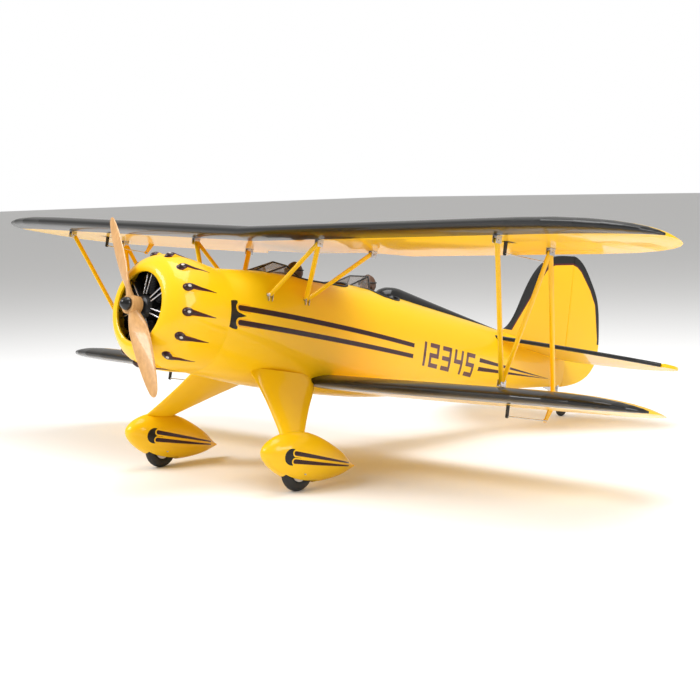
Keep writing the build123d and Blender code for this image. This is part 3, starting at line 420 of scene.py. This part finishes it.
materials = {
    "upper": wing_material("upper"),
    "lower": wing_material("lower"),
    "fuselage": fuselage_material(),
    "pant": pant_material(),
    "cowl": cowl_material(),
    "tail": tail_material(),
    "stab": stab_material(),
    "yellow": plain_film("yellow_film"),
    "black": speckled("black_gloss", (0.007, 0.007, 0.007), 0.3, coat=0.4, Specular_IOR_Level=0.25),
    "black_matt": speckled("black_matt", (0.014, 0.014, 0.015), 0.5),
    "dark_metal": speckled("dark_metal", (0.035, 0.035, 0.038), 0.38, metallic=0.6),
    "steel": speckled("steel", (0.62, 0.62, 0.64), 0.24, 90.0, 0.08, metallic=1.0),
    "aluminium": speckled("aluminium", (0.72, 0.72, 0.74), 0.3, 120.0, 0.1, metallic=1.0),
    "cast": speckled("cast_metal", (0.42, 0.42, 0.44), 0.5, 220.0, 0.4, metallic=0.9),
    "nylon": speckled("nylon", (0.80, 0.78, 0.70), 0.45),
    "rubber": speckled("rubber", (0.018, 0.018, 0.019), 0.62, 300.0, 0.3),
    "leather": speckled("black_leather", (0.012, 0.011, 0.011), 0.42, 380.0, 0.5),
    "seat": speckled("seat_leather", (0.05, 0.035, 0.025), 0.5, 320.0, 0.5),
    "ply": wood_material("plywood", (0.55, 0.38, 0.21), (0.36, 0.22, 0.11), (0.2, 1, 1), 0.2),
    "prop": wood_material("propeller_wood", (0.66, 0.36, 0.13), (0.50, 0.25, 0.08), (0.5, 1, 0.12), 0.4),
    "tank": speckled("tank_plastic", (0.85, 0.82, 0.72), 0.35),
    "helmet": speckled("helmet_leather", (0.115, 0.05, 0.022), 0.42, 420.0, 0.5),
    "jacket": speckled("jacket_leather", (0.09, 0.045, 0.022), 0.5, 360.0, 0.6),
    "skin": speckled("skin", (0.62, 0.34, 0.22), 0.5, 90.0, 0.1),
    "scarf": speckled("scarf", (0.78, 0.74, 0.66), 0.8, 500.0, 0.5),
    "maroon": speckled("maroon_vinyl", MAROON, 0.3, coat=0.6),
    "dial": speckled("dial_white", (0.85, 0.85, 0.82), 0.4),
}

materials["glass"] = principled("clear_sheet", (0.22, 0.19, 0.17), 0.03, Alpha=0.42)[0]
materials["lens"] = principled("goggle_lens", (0.06, 0.08, 0.10), 0.05, coat=1.0)[0]

FINISH = {
    "upper": ["upper_wing_left", "upper_wing_right", "aileron_upper_left", "aileron_upper_right"],
    "lower": ["lower_wing_left", "lower_wing_right", "aileron_lower_left", "aileron_lower_right"],
    "fuselage": ["fuselage"],
    "pant": ["wheel_pant_left", "wheel_pant_right"],
    "cowl": ["cowl"],
    "tail": ["fin", "rudder"],
    "stab": ["stabiliser"],
    "yellow": ["elevator_left", "elevator_right", "gear_leg_left", "gear_leg_right",
               "interplane_strut_left", "interplane_strut_right", "cabane_strut_left",
               "cabane_strut_right"],
    "black": ["spinner_nut", "windshield_frames", "headrest"],
    "black_matt": ["instrument_panels", "servos", "servo_arm_upper_left", "servo_arm_upper_right",
                   "servo_arm_lower_left", "servo_arm_lower_right"],
    "dark_metal": ["dummy_crankcase", "dummy_cylinders"],
    "steel": ["dummy_pushrod_tubes", "pushrod_upper_left", "pushrod_upper_right", "pushrod_lower_left",
              "pushrod_lower_right", "strut_fittings", "crankshaft", "wheel_axles", "tail_wheel_bracket",
              "tail_wheel_fork", "elevator_joiner"],
    "aluminium": ["wing_tubes", "wheel_hub_left", "wheel_hub_right"],
    "cast": ["engine"],
    "rubber": ["tyre_left", "tyre_right", "tail_wheel"],
    "seat": ["cockpit_seats"],
    "ply": ["firewall", "radio_gear"],
    "prop": ["propeller"],
    "tank": ["fuel_tank"],
    "helmet": ["pilot_front", "pilot_rear"],
    "glass": ["windshields"],
}
CREASE = math.radians(32)
for key, names in FINISH.items():
    for name in names:
        mesh = nodes[name].data
        mesh.materials.clear()
        mesh.materials.append(materials[key])
        mesh.shade_smooth()
        mesh.set_sharp_from_angle(angle=CREASE)

# ---------------------------------------------------------------- made pieces


def piece(name, mesh, material, body="airframe", replaced=()):
    """Show a mesh given in the rigging frame, riding on a CAD body."""
    made = bpy.data.objects.new(name, mesh)
    bpy.context.scene.collection.objects.link(made)
    mesh.transform(TO_SCENE)
    mesh.materials.append(material)
    mesh.shade_smooth()
    mesh.set_sharp_from_angle(angle=CREASE)
    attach(made, body)
    if replaced:
        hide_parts(*replaced)
    return made


def skin(rings, cap=True, wrap=True):
    """A mesh through equal rings of points."""
    count = len(rings[0])
    points = [p for ring in rings for p in ring]
    faces = []
    for r in range(len(rings) - 1):
        for i in range(count if wrap else count - 1):
            j = (i + 1) % count
            faces.append((r * count + i, r * count + j, (r + 1) * count + j, (r + 1) * count + i))
    if cap:
        faces.append(tuple(range(count))[::-1])
        faces.append(tuple((len(rings) - 1) * count + i for i in range(count)))
    mesh = bpy.data.meshes.new("skin")
    mesh.from_pydata([tuple(p) for p in points], [], faces)
    mesh.validate()
    return mesh


def joined(meshes):
    """Several meshes as one."""
    points = []
    faces = []
    for mesh in meshes:
        first = len(points)
        points += [tuple(v.co) for v in mesh.vertices]
        faces += [tuple(first + i for i in p.vertices) for p in mesh.polygons]
    mesh = bpy.data.meshes.new("joined")
    mesh.from_pydata(points, [], faces)
    return mesh


def oval_ring(centre, across, along, half_across, half_along, count=40, power=2.0):
    """A closed ring about a centre; a power over 2 squares it."""
    ring = []
    for i in range(count):
        c, s = math.cos(2 * math.pi * i / count), math.sin(2 * math.pi * i / count)
        a = half_across * math.copysign(abs(c) ** (2 / power), c)
        b = half_along * math.copysign(abs(s) ** (2 / power), s)
        ring.append(centre + across * a + along * b)
    return ring


def ellipsoid(centre, half, squash=None):
    """A fine egg with half sizes along x, y and z; squash(unit point) may reshape it."""
    rings = []
    for k in range(1, 28):
        lat = math.pi * k / 28 - math.pi / 2
        ring = []
        for i in range(48):
            lon = 2 * math.pi * i / 48
            unit = Vector((math.cos(lat) * math.cos(lon), math.cos(lat) * math.sin(lon), math.sin(lat)))
            if squash:
                unit = squash(unit)
            ring.append(Vector((centre[0] + half[0] * unit.x, centre[1] + half[1] * unit.y,
                                centre[2] + half[2] * unit.z)))
        rings.append(ring)
    return skin(rings)


# ---------------------------------------------------------------- pilots


def shaped_head(unit):
    """An ordinary head under a helmet: fuller behind, narrower at the chin, flatter at the sides."""
    x, y, z = unit
    jaw = max(0.0, -z)
    x *= 1 - 0.30 * jaw
    y = y * (1 - 0.10 * jaw) - 0.10 * jaw
    if y > 0:
        y *= 1.06
    return Vector((x, y, z))


def tube(points, radius, count=20):
    """A round bar along points."""
    rings = []
    points = [Vector(p) for p in points]
    side = None
    for i, p in enumerate(points):
        run = (points[min(i + 1, len(points) - 1)] - points[max(i - 1, 0)]).normalized()
        if side is None:
            side = run.orthogonal().normalized()
        side = (side - run * side.dot(run)).normalized()
        rings.append(oval_ring(p, side, run.cross(side), radius, radius, count))
    return skin(rings)


def ring_tube(centre, normal, half_a, half_b, radius, count=40):
    """A closed oval hoop; its plane is square to the normal."""
    normal = Vector(normal).normalized()
    across = Vector((1, 0, 0))
    across = (across - normal * across.dot(normal)).normalized()
    along = normal.cross(across)
    points = oval_ring(Vector(centre), across, along, half_a, half_b, count)
    rings = []
    for i, p in enumerate(points):
        run = (points[(i + 1) % count] - points[i - 1]).normalized()
        rings.append(oval_ring(p, normal, run.cross(normal), radius, radius, 10))
    rings.append(rings[0])
    return skin(rings, cap=False)


# rings up the jacket: height, half width, half depth, middle aft of the face, squareness
SHOULDERS = [(-12, 23, 15, 27, 2.2), (15, 26, 16, 25, 2.4), (38, 28, 15.5, 23, 2.5), (52, 29, 14, 21, 2.4),
             (60, 26, 12.5, 19.5, 2.2), (66, 17, 11, 18, 2.0), (71, 10.5, 9.5, 16.5, 2.0)]
HEAD_HALF = 22.5            # half the helmet's height


def pilot(label, y, top):
    """A helmeted pilot: jacket, scarf, neck, face, leather helmet, goggles and strap."""
    mid = top - HEAD_HALF
    node = "pilot_" + label
    shoulders = []
    for z, half_x, half_y, back, power in SHOULDERS:
        shoulders.append(oval_ring(Vector((0, y + back, z)), Vector((1, 0, 0)), Vector((0, 1, 0)),
                                   half_x, half_y, 48, power))
    piece(node + "_jacket", skin(shoulders), materials["jacket"], replaced=[node])
    collar = [ring_tube((0, y + 16.5, 70), (0, 0.25, 1), 11.5, 10.5, 3.4),
              ring_tube((0, y + 15.5, 75), (0, 0.3, 1), 10, 9.4, 3.0),
              tube([(4, y + 5, 73), (6, y + 1.5, 66), (5, y + 1, 56)], 3.2)]
    piece(node + "_scarf", joined(collar), materials["scarf"])
    neck = tube([(0, y + 16, 66), (0, y + 10, mid - 8)], 8.2, 32)
    face = ellipsoid((0, y - 0.5, mid), (14.6, 17.2, 21.2), shaped_head)
    nose = ellipsoid((0, y - 18.2, mid - 3.5), (2.3, 3.2, 4.4))
    lips = ellipsoid((0, y - 16.8, mid - 10.6), (4.0, 1.6, 1.3))
    chin = ellipsoid((0, y - 13.8, mid - 16.2), (6.2, 4.6, 4.6))
    piece(node + "_face", joined([neck, face, nose, lips, chin]), materials["skin"])
    cap = []
    for k in range(26):
        lat = math.pi / 2 * (1 - k / 25 * 1.42)
        ring = []
        for i in range(56):
            lon = 2 * math.pi * i / 56
            unit = Vector((math.cos(lat) * math.cos(lon), math.cos(lat) * math.sin(lon), math.sin(lat)))
            front = max(0.0, -unit.y)
            level = max(unit.z, -0.62 + 0.95 * min(1.0, front * 1.6))
            flat = math.sqrt(max(0.0, 1 - level * level))
            spread = math.hypot(unit.x, unit.y)
            if spread > 1e-6 and level > unit.z:
                unit = Vector((unit.x / spread * flat, unit.y / spread * flat, level))
            unit = shaped_head(unit)
            ring.append(Vector((16.2 * unit.x, y - 0.3 + 18.7 * unit.y, mid + 22.6 * unit.z)))
        cap.append(ring)
    piece(node + "_helmet", skin(cap), materials["helmet"])
    ears = [ellipsoid((side * 15.6, y + 1.5, mid - 4), (2.6, 5.4, 6.4)) for side in (-1, 1)]
    strap = [tube([(side * 14.6, y + 1, mid - 8), (side * 11.2, y - 6, mid - 15.5),
                   (0, y - 12.5, mid - 20.6)], 1.1)
             for side in (-1, 1)]
    seam = tube([(0, y + 18.6 * math.sin(a), mid + 22.9 * math.cos(a)) for a in
                 [math.radians(v) for v in range(-42, 118, 8)]], 0.5, 8)
    piece(node + "_helmet_trim", joined([*ears, *strap, seam]), materials["helmet"])
    rims = [ring_tube((side * 6.6, y - 17.2, mid + 3.6), (side * 0.34, -1, 0.06), 5.6, 4.6, 0.9)
            for side in (-1, 1)]
    band = [(17.2 * math.sin(a), y - 0.5 - 18.9 * math.cos(a), mid + 3.8 + 2.4 * (1 - math.cos(a)))
            for a in [math.radians(v) for v in range(44, 317, 8)]]
    bridge = tube([(-1.4, y - 18.8, mid + 4), (1.4, y - 18.8, mid + 4)], 1)
    piece(node + "_goggles", joined([*rims, tube(band, 1.2, 10), bridge]), materials["black_matt"])
    lenses = [ellipsoid((side * 6.6, y - 16.6, mid + 3.6), (5.4, 2.0, 4.4)) for side in (-1, 1)]
    piece(node + "_lenses", joined(lenses), materials["lens"])


pilot("front", 386.0, 133.5)
pilot("rear", 594.0, 135.5)

# ---------------------------------------------------------------- struts


def strut(start, end, chord=11.0, thick=6.0):
    """A streamlined strut with its chord fore and aft and rounded ends."""
    start, end = Vector(start), Vector(end)
    run = (end - start).normalized()
    fore = Vector((0, 1, 0))
    fore = (fore - run * fore.dot(run)).normalized()
    side = run.cross(fore)
    length = (end - start).length
    rings = []
    for at, size in ((0, 0.35), (1.2, 0.75), (3.5, 1), (length - 3.5, 1), (length - 1.2, 0.75),
                     (length, 0.35)):
        rings.append(oval_ring(start + run * at, fore, side, chord / 2 * size, thick / 2 * size, 32))
    return skin(rings)


END_DEPTH = 30.0            # how far from the lowest or highest point an end reaches
END_FACE = 6.0              # how far from the end's edge its own face reaches
CABANE_REACH = 9.0          # the cabane feet run on past their CAD ends, into the fittings


def ends_of(node):
    """The points near a CAD node's lower and upper ends, in the rigging frame."""
    back = TO_SCENE.inverted()
    points = [back @ v.co for v in nodes[node].data.vertices]
    low = min(p.z for p in points)
    high = max(p.z for p in points)
    feet = [p for p in points if p.z < low + END_DEPTH]
    heads = [p for p in points if p.z > high - END_DEPTH]
    return feet, heads


def middle(points):
    return sum(points, Vector()) / len(points)


def n_frame(node, name, crossing):
    """The three struts of an N; crossing names the diagonal's foot and head."""
    feet, heads = ends_of(node)
    reach = CABANE_REACH if name.startswith("cabane") else 0.0
    split_feet = (min(p.y for p in feet) + max(p.y for p in feet)) / 2
    split_heads = (min(p.y for p in heads) + max(p.y for p in heads)) / 2
    foot = {}
    head = {}
    for key, group, cut, store in (("front", feet, split_feet, foot), ("rear", feet, split_feet, foot),
                                   ("front", heads, split_heads, head), ("rear", heads, split_heads, head)):
        chosen = [p for p in group if (p.y < cut) == (key == "front")]
        edge = min(p.z for p in chosen) if store is foot else max(p.z for p in chosen)
        store[key] = middle([p for p in chosen if abs(p.z - edge) < END_FACE])
    for key in foot:
        foot[key] += Vector((-0.75 * reach * (1 if foot[key].x > 0 else -1), 0, -0.75 * reach))
    start, end = crossing
    made = [strut(foot["front"], head["front"]), strut(foot["rear"], head["rear"]),
            strut(foot[start], head[end])]
    piece(name, joined(made), materials["yellow"], replaced=[node])


for side in ("left", "right"):
    n_frame("interplane_strut_" + side, "interplane_n_" + side, ("front", "rear"))
    n_frame("cabane_strut_" + side, "cabane_n_" + side, ("rear", "front"))

# the struts' metal tabs: a folded plate and a cross bolt at every end
tabs = []


def box_mesh(centre, half):
    """A small plate with slightly eased edges."""
    rings = []
    for dz, size in ((-1, 0.86), (-0.8, 1), (0.8, 1), (1, 0.86)):
        middle_point = Vector(centre) + Vector((0, 0, dz * half[2]))
        rings.append(oval_ring(middle_point, Vector((1, 0, 0)), Vector((0, 1, 0)),
                               half[0] * size, half[1] * size, 24, 6.0))
    return skin(rings)


back_to_rig = TO_SCENE.inverted()
fitting_points = [back_to_rig @ v.co for v in nodes["strut_fittings"].data.vertices]
for s in (1, -1):
    for kind, places in (("head", ((623, 275), (623, 418.5), (184, 275), (184, 418.5))),
                         ("foot", ((540, 424), (540, 572.5)))):
        for x, y in places:
            near = [p for p in fitting_points if math.hypot(p.x - s * x, p.y - y) < 14]
            level = max(p.z for p in near) if kind == "head" else min(p.z for p in near)
            lean = -1 if kind == "head" else 1
            for dx in (-4.2, 4.2):
                tabs.append(box_mesh((s * x + dx, y, level + lean * 6), (0.6, 7, 6.5)))
            tabs.append(box_mesh((s * x, y, level + lean * 0.2), (6, 8, 0.7)))
            tabs.append(tube([(s * x - 6, y, level + lean * 7), (s * x + 6, y, level + lean * 7)], 1.6, 12))
    for x, y, z in ((104, 243, 57), (107, 335, 60)):
        for dy in (-4.4, 4.4):
            tabs.append(box_mesh((s * (x - 6), y + dy, z - 9), (6, 0.6, 7.5)))
        tabs.append(tube([(s * (x - 5), y - 7, z - 6), (s * (x - 5), y + 7, z - 6)], 1.6, 12))
piece("strut_tabs", joined(tabs), materials["steel"], replaced=["strut_fittings"])

# ---------------------------------------------------------------- small fittings and marks

NUMERAL_STROKES = {
    "1": ["right_top", "right_low"],
    "2": ["top", "right_top", "middle", "left_low", "bottom"],
    "3": ["top", "right_top", "middle", "right_low", "bottom"],
    "4": ["left_top", "right_top", "middle", "right_low"],
    "5": ["top", "left_top", "middle", "right_low", "bottom"],
}
STROKE_BOXES = {
    "top": (0, 0.82, 1, 1), "middle": (0, 0.41, 1, 0.59), "bottom": (0, 0, 1, 0.18),
    "left_top": (0, 0.41, 0.24, 1), "left_low": (0, 0, 0.24, 0.59),
    "right_top": (0.76, 0.41, 1, 1), "right_low": (0.76, 0, 1, 0.59),
}


FIRST_NUMERAL = 664.0       # station of the first numeral's front edge
NUMERAL_STEP = 45.5
NUMERAL_FOOT = -38.0
NUMERAL_WIDTH = 33.0
NUMERAL_HEIGHT = 51.0
NUMERAL_SLOPE = -0.052      # the row drops towards the tail
SLOPE_START = 659.0         # station where the row's drop is nothing


def on_fuselage(side, y, z):
    """The point of the fuselage's skin at a station and height, a hair outside it."""
    body = nodes["fuselage"]
    start = place(side * 200, y, z)
    aim = (place(0, y, z) - start).normalized()
    hit, point, normal, _ = body.ray_cast(start, aim)
    return TO_SCENE.inverted() @ (point + normal * 0.00025) if hit else Vector((side * 60, y, z))


def numeral_patch(side, digit, y0, z0, width, height, slope):
    """One block numeral laid on the fuselage side, as fine patches."""
    meshes = []
    for stroke in NUMERAL_STROKES[digit]:
        a0, b0, a1, b1 = STROKE_BOXES[stroke]
        rows = []
        for i in range(13):
            b = b0 + (b1 - b0) * i / 12
            row = []
            for j in range(13):
                a = a0 + (a1 - a0) * j / 12
                y = y0 + a * width
                row.append(on_fuselage(side, y, z0 + b * height + slope * (y - SLOPE_START)))
            rows.append(row)
        meshes.append(skin(rows, cap=False, wrap=False))
    return joined(meshes)


for side, label in ((1, "left"), (-1, "right")):
    order = "12345" if side == 1 else "54321"
    figures = []
    for i, digit in enumerate(order):
        y0 = FIRST_NUMERAL + NUMERAL_STEP * i
        if side == 1:
            shape = (y0, NUMERAL_FOOT, NUMERAL_WIDTH)
        else:
            shape = (y0 + NUMERAL_WIDTH, NUMERAL_FOOT, -NUMERAL_WIDTH)
        figures.append(numeral_patch(side, digit, *shape, NUMERAL_HEIGHT, NUMERAL_SLOPE))
    piece("numerals_" + label, joined(figures), materials["maroon"])

DIAL_HEIGHT = 78
DIAL_STEP = 34
for label, y in (("front", 344.0), ("rear", 566.0)):
    faces = []
    for i in (-1, 0, 1):
        x = DIAL_STEP * i
        faces.append(tube([(x, y - 1.2, DIAL_HEIGHT), (x, y - 0.6, DIAL_HEIGHT)], 8.6, 32))
    piece("dials_" + label, joined(faces), materials["dial"])
    hoops = [ring_tube((DIAL_STEP * i, y + 0.1, DIAL_HEIGHT), (0, 1, 0), 9.2, 9.2, 0.8)
             for i in (-1, 0, 1)]
    needles = [tube([(DIAL_STEP * i, y - 0.3, DIAL_HEIGHT), (DIAL_STEP * i + 4, y - 0.3, DIAL_HEIGHT + 5)],
                    0.4, 8)
               for i in (-1, 0, 1)]
    piece("dial_rims_" + label, joined(hoops + needles), materials["steel"])

# cockpit openings: centre station, half length, half width; their padding sits RIM_GROW outside
COCKPITS = ((418.0, 82.0, 60.0), (606.0, 46.0, 56.0))
RIM_GROW = 1.02
RIM_RADIUS = 2.6
body = nodes["fuselage"]
rims = []
for centre, half_length, half_width in COCKPITS:
    corner = 0.7 * min(half_width, half_length)
    outline = []
    for quarter, (sx, sy) in enumerate(((1, 1), (-1, 1), (-1, -1), (1, -1))):
        for k in range(9):
            a = math.radians(90 * quarter + 90 * k / 8)
            outline.append((sx * (half_width - corner) + corner * math.cos(a),
                            centre + sy * (half_length - corner) + corner * math.sin(a)))
    path = []
    for x, y in outline:
        gx, gy = x * RIM_GROW, centre + (y - centre) * RIM_GROW
        start = place(gx, gy, 180)
        aim = (place(gx, gy, 0) - start).normalized()
        hit, point, _, _ = body.ray_cast(start, aim)
        path.append(TO_SCENE.inverted() @ point if hit else Vector((gx, gy, 90)))
    path.append(path[0])
    path.append(path[1])
    rims.append(tube(path, RIM_RADIUS, 12))
piece("cockpit_rims", joined(rims), materials["leather"])

# headrest and the straight ridge behind it: station, half width, top, squareness
RIDGE = [(627, 15, 101, 2.0), (631, 21, 106, 2.1), (639, 26, 112.5, 2.3), (652, 28.5, 117, 2.4),
         (668, 28.5, 118.5, 2.4), (680, 27, 118, 2.4), (760, 21, 106, 2.2), (840, 15.5, 94, 2.1),
         (930, 9.5, 80.5, 2.0), (1016, 3.5, 67.6, 2.0)]
RIDGE_BOTTOM = 56
ridge = []
for y, half, top, power in RIDGE:
    centre = Vector((0, y, (top + RIDGE_BOTTOM) / 2))
    ridge.append(oval_ring(centre, Vector((1, 0, 0)), Vector((0, 0, 1)), half, (top - RIDGE_BOTTOM) / 2,
                           48, power))
piece("headrest_ridge", skin(ridge), materials["black"], replaced=["headrest"])

# windscreen frames, drawn round
ridge_low, ridge_high = (0, 284, 103.5), (0, 327, 125.4)
frame_runs = [[ridge_low, ridge_high]]
for s in (1, -1):
    frame_runs += [[ridge_high, (35 * s, 333, 119)], [(36 * s, 283, 98.5), (35 * s, 333, 119)],
                   [(35 * s, 333, 119), (54 * s, 370, 91)], [(31 * s, 512, 103), (27 * s, 566, 129)],
                   [(27 * s, 566, 129), (36 * s, 566, 100)],
                   [ridge_low, (36 * s, 283, 98.5), (46 * s, 330, 95), (55 * s, 371, 91)],
                   [(31 * s, 512, 103.5), (36 * s, 566, 100.5)]]
frame_runs += [[(27, 566, 129), (-27, 566, 129)], [(31, 512, 103.5), (0, 507, 107.5), (-31, 512, 103.5)]]
piece("windscreen_beading", joined([tube(run, 1.7, 12) for run in frame_runs]), materials["black"],
      replaced=["windshield_frames"])

# ---------------------------------------------------------------- floor, light and camera

FLOOR_HALF = 30.0
floor_mesh = bpy.data.meshes.new("floor")
floor_corners = [(-FLOOR_HALF, -FLOOR_HALF, 0), (FLOOR_HALF, -FLOOR_HALF, 0),
                 (FLOOR_HALF, FLOOR_HALF, 0), (-FLOOR_HALF, FLOOR_HALF, 0)]
floor_mesh.from_pydata(floor_corners, [], [(0, 1, 2, 3)])
floor = bpy.data.objects.new("floor", floor_mesh)
bpy.context.scene.collection.objects.link(floor)
floor_mesh.materials.append(principled("floor", (0.93, 0.93, 0.93), 0.8)[0])

# the room's light is soft, and the backdrop behind the floor is plain white
world = bpy.data.worlds.new("studio")
bpy.context.scene.world = world
world.use_nodes = True
sky = world.node_tree
room = sky.nodes["Background"]
room.inputs["Color"].default_value = (1.0, 0.99, 0.97, 1)
room.inputs["Strength"].default_value = 0.50
paper = sky.nodes.new("ShaderNodeBackground")
paper.inputs["Color"].default_value = (1, 1, 1, 1)
paper.inputs["Strength"].default_value = 1.0
path = sky.nodes.new("ShaderNodeLightPath")
choose = sky.nodes.new("ShaderNodeMixShader")
sky.links.new(path.outputs["Is Camera Ray"], choose.inputs[0])
sky.links.new(room.outputs[0], choose.inputs[1])
sky.links.new(paper.outputs[0], choose.inputs[2])
sky.links.new(choose.outputs[0], sky.nodes["World Output"].inputs["Surface"])
bpy.context.scene.view_settings.view_transform = "Standard"


def softbox(name, location, aim, width, height, power):
    """A rectangular area light pointing at a place."""
    light = bpy.data.lights.new(name, "AREA")
    light.shape = "RECTANGLE"
    light.size = width
    light.size_y = height
    light.energy = power
    made = bpy.data.objects.new(name, light)
    made.location = location
    direction = Vector(aim) - Vector(location)
    made.rotation_euler = direction.to_track_quat("-Z", "Y").to_euler()
    bpy.context.scene.collection.objects.link(made)


# name, place, aim, width, height, watts
LIGHTS = [
    ("key_light", (-1.2, -2.6, 2.6), (0, 0, 0.25), 1.8, 1.4, 85),
    ("side_light", (3.4, 0.4, 1.9), (0, 0.1, 0.25), 1.8, 1.6, 55),
    ("top_light", (0.2, 0.4, 3.4), (0, 0.1, 0.2), 2.6, 2.2, 80),
]
for light in LIGHTS:
    softbox(*light)

CAMERA_PLACE = (2460.3, -1814.1, -128.2)         # rigging frame
CAMERA_TURN = (84.0197, 1.4711, 46.1077)         # degrees, in the scene's frame
camera_data = bpy.data.cameras.new("camera")
camera_data.lens = 84.98                         # millimetres, on a 36 mm sensor
camera_data.sensor_width = 36.0
camera_data.clip_end = 100.0
camera = bpy.data.objects.new("camera", camera_data)
camera.location = place(*CAMERA_PLACE)
camera.rotation_euler = Euler([math.radians(a) for a in CAMERA_TURN], "XYZ")
bpy.context.scene.collection.objects.link(camera)
bpy.context.scene.camera = camera
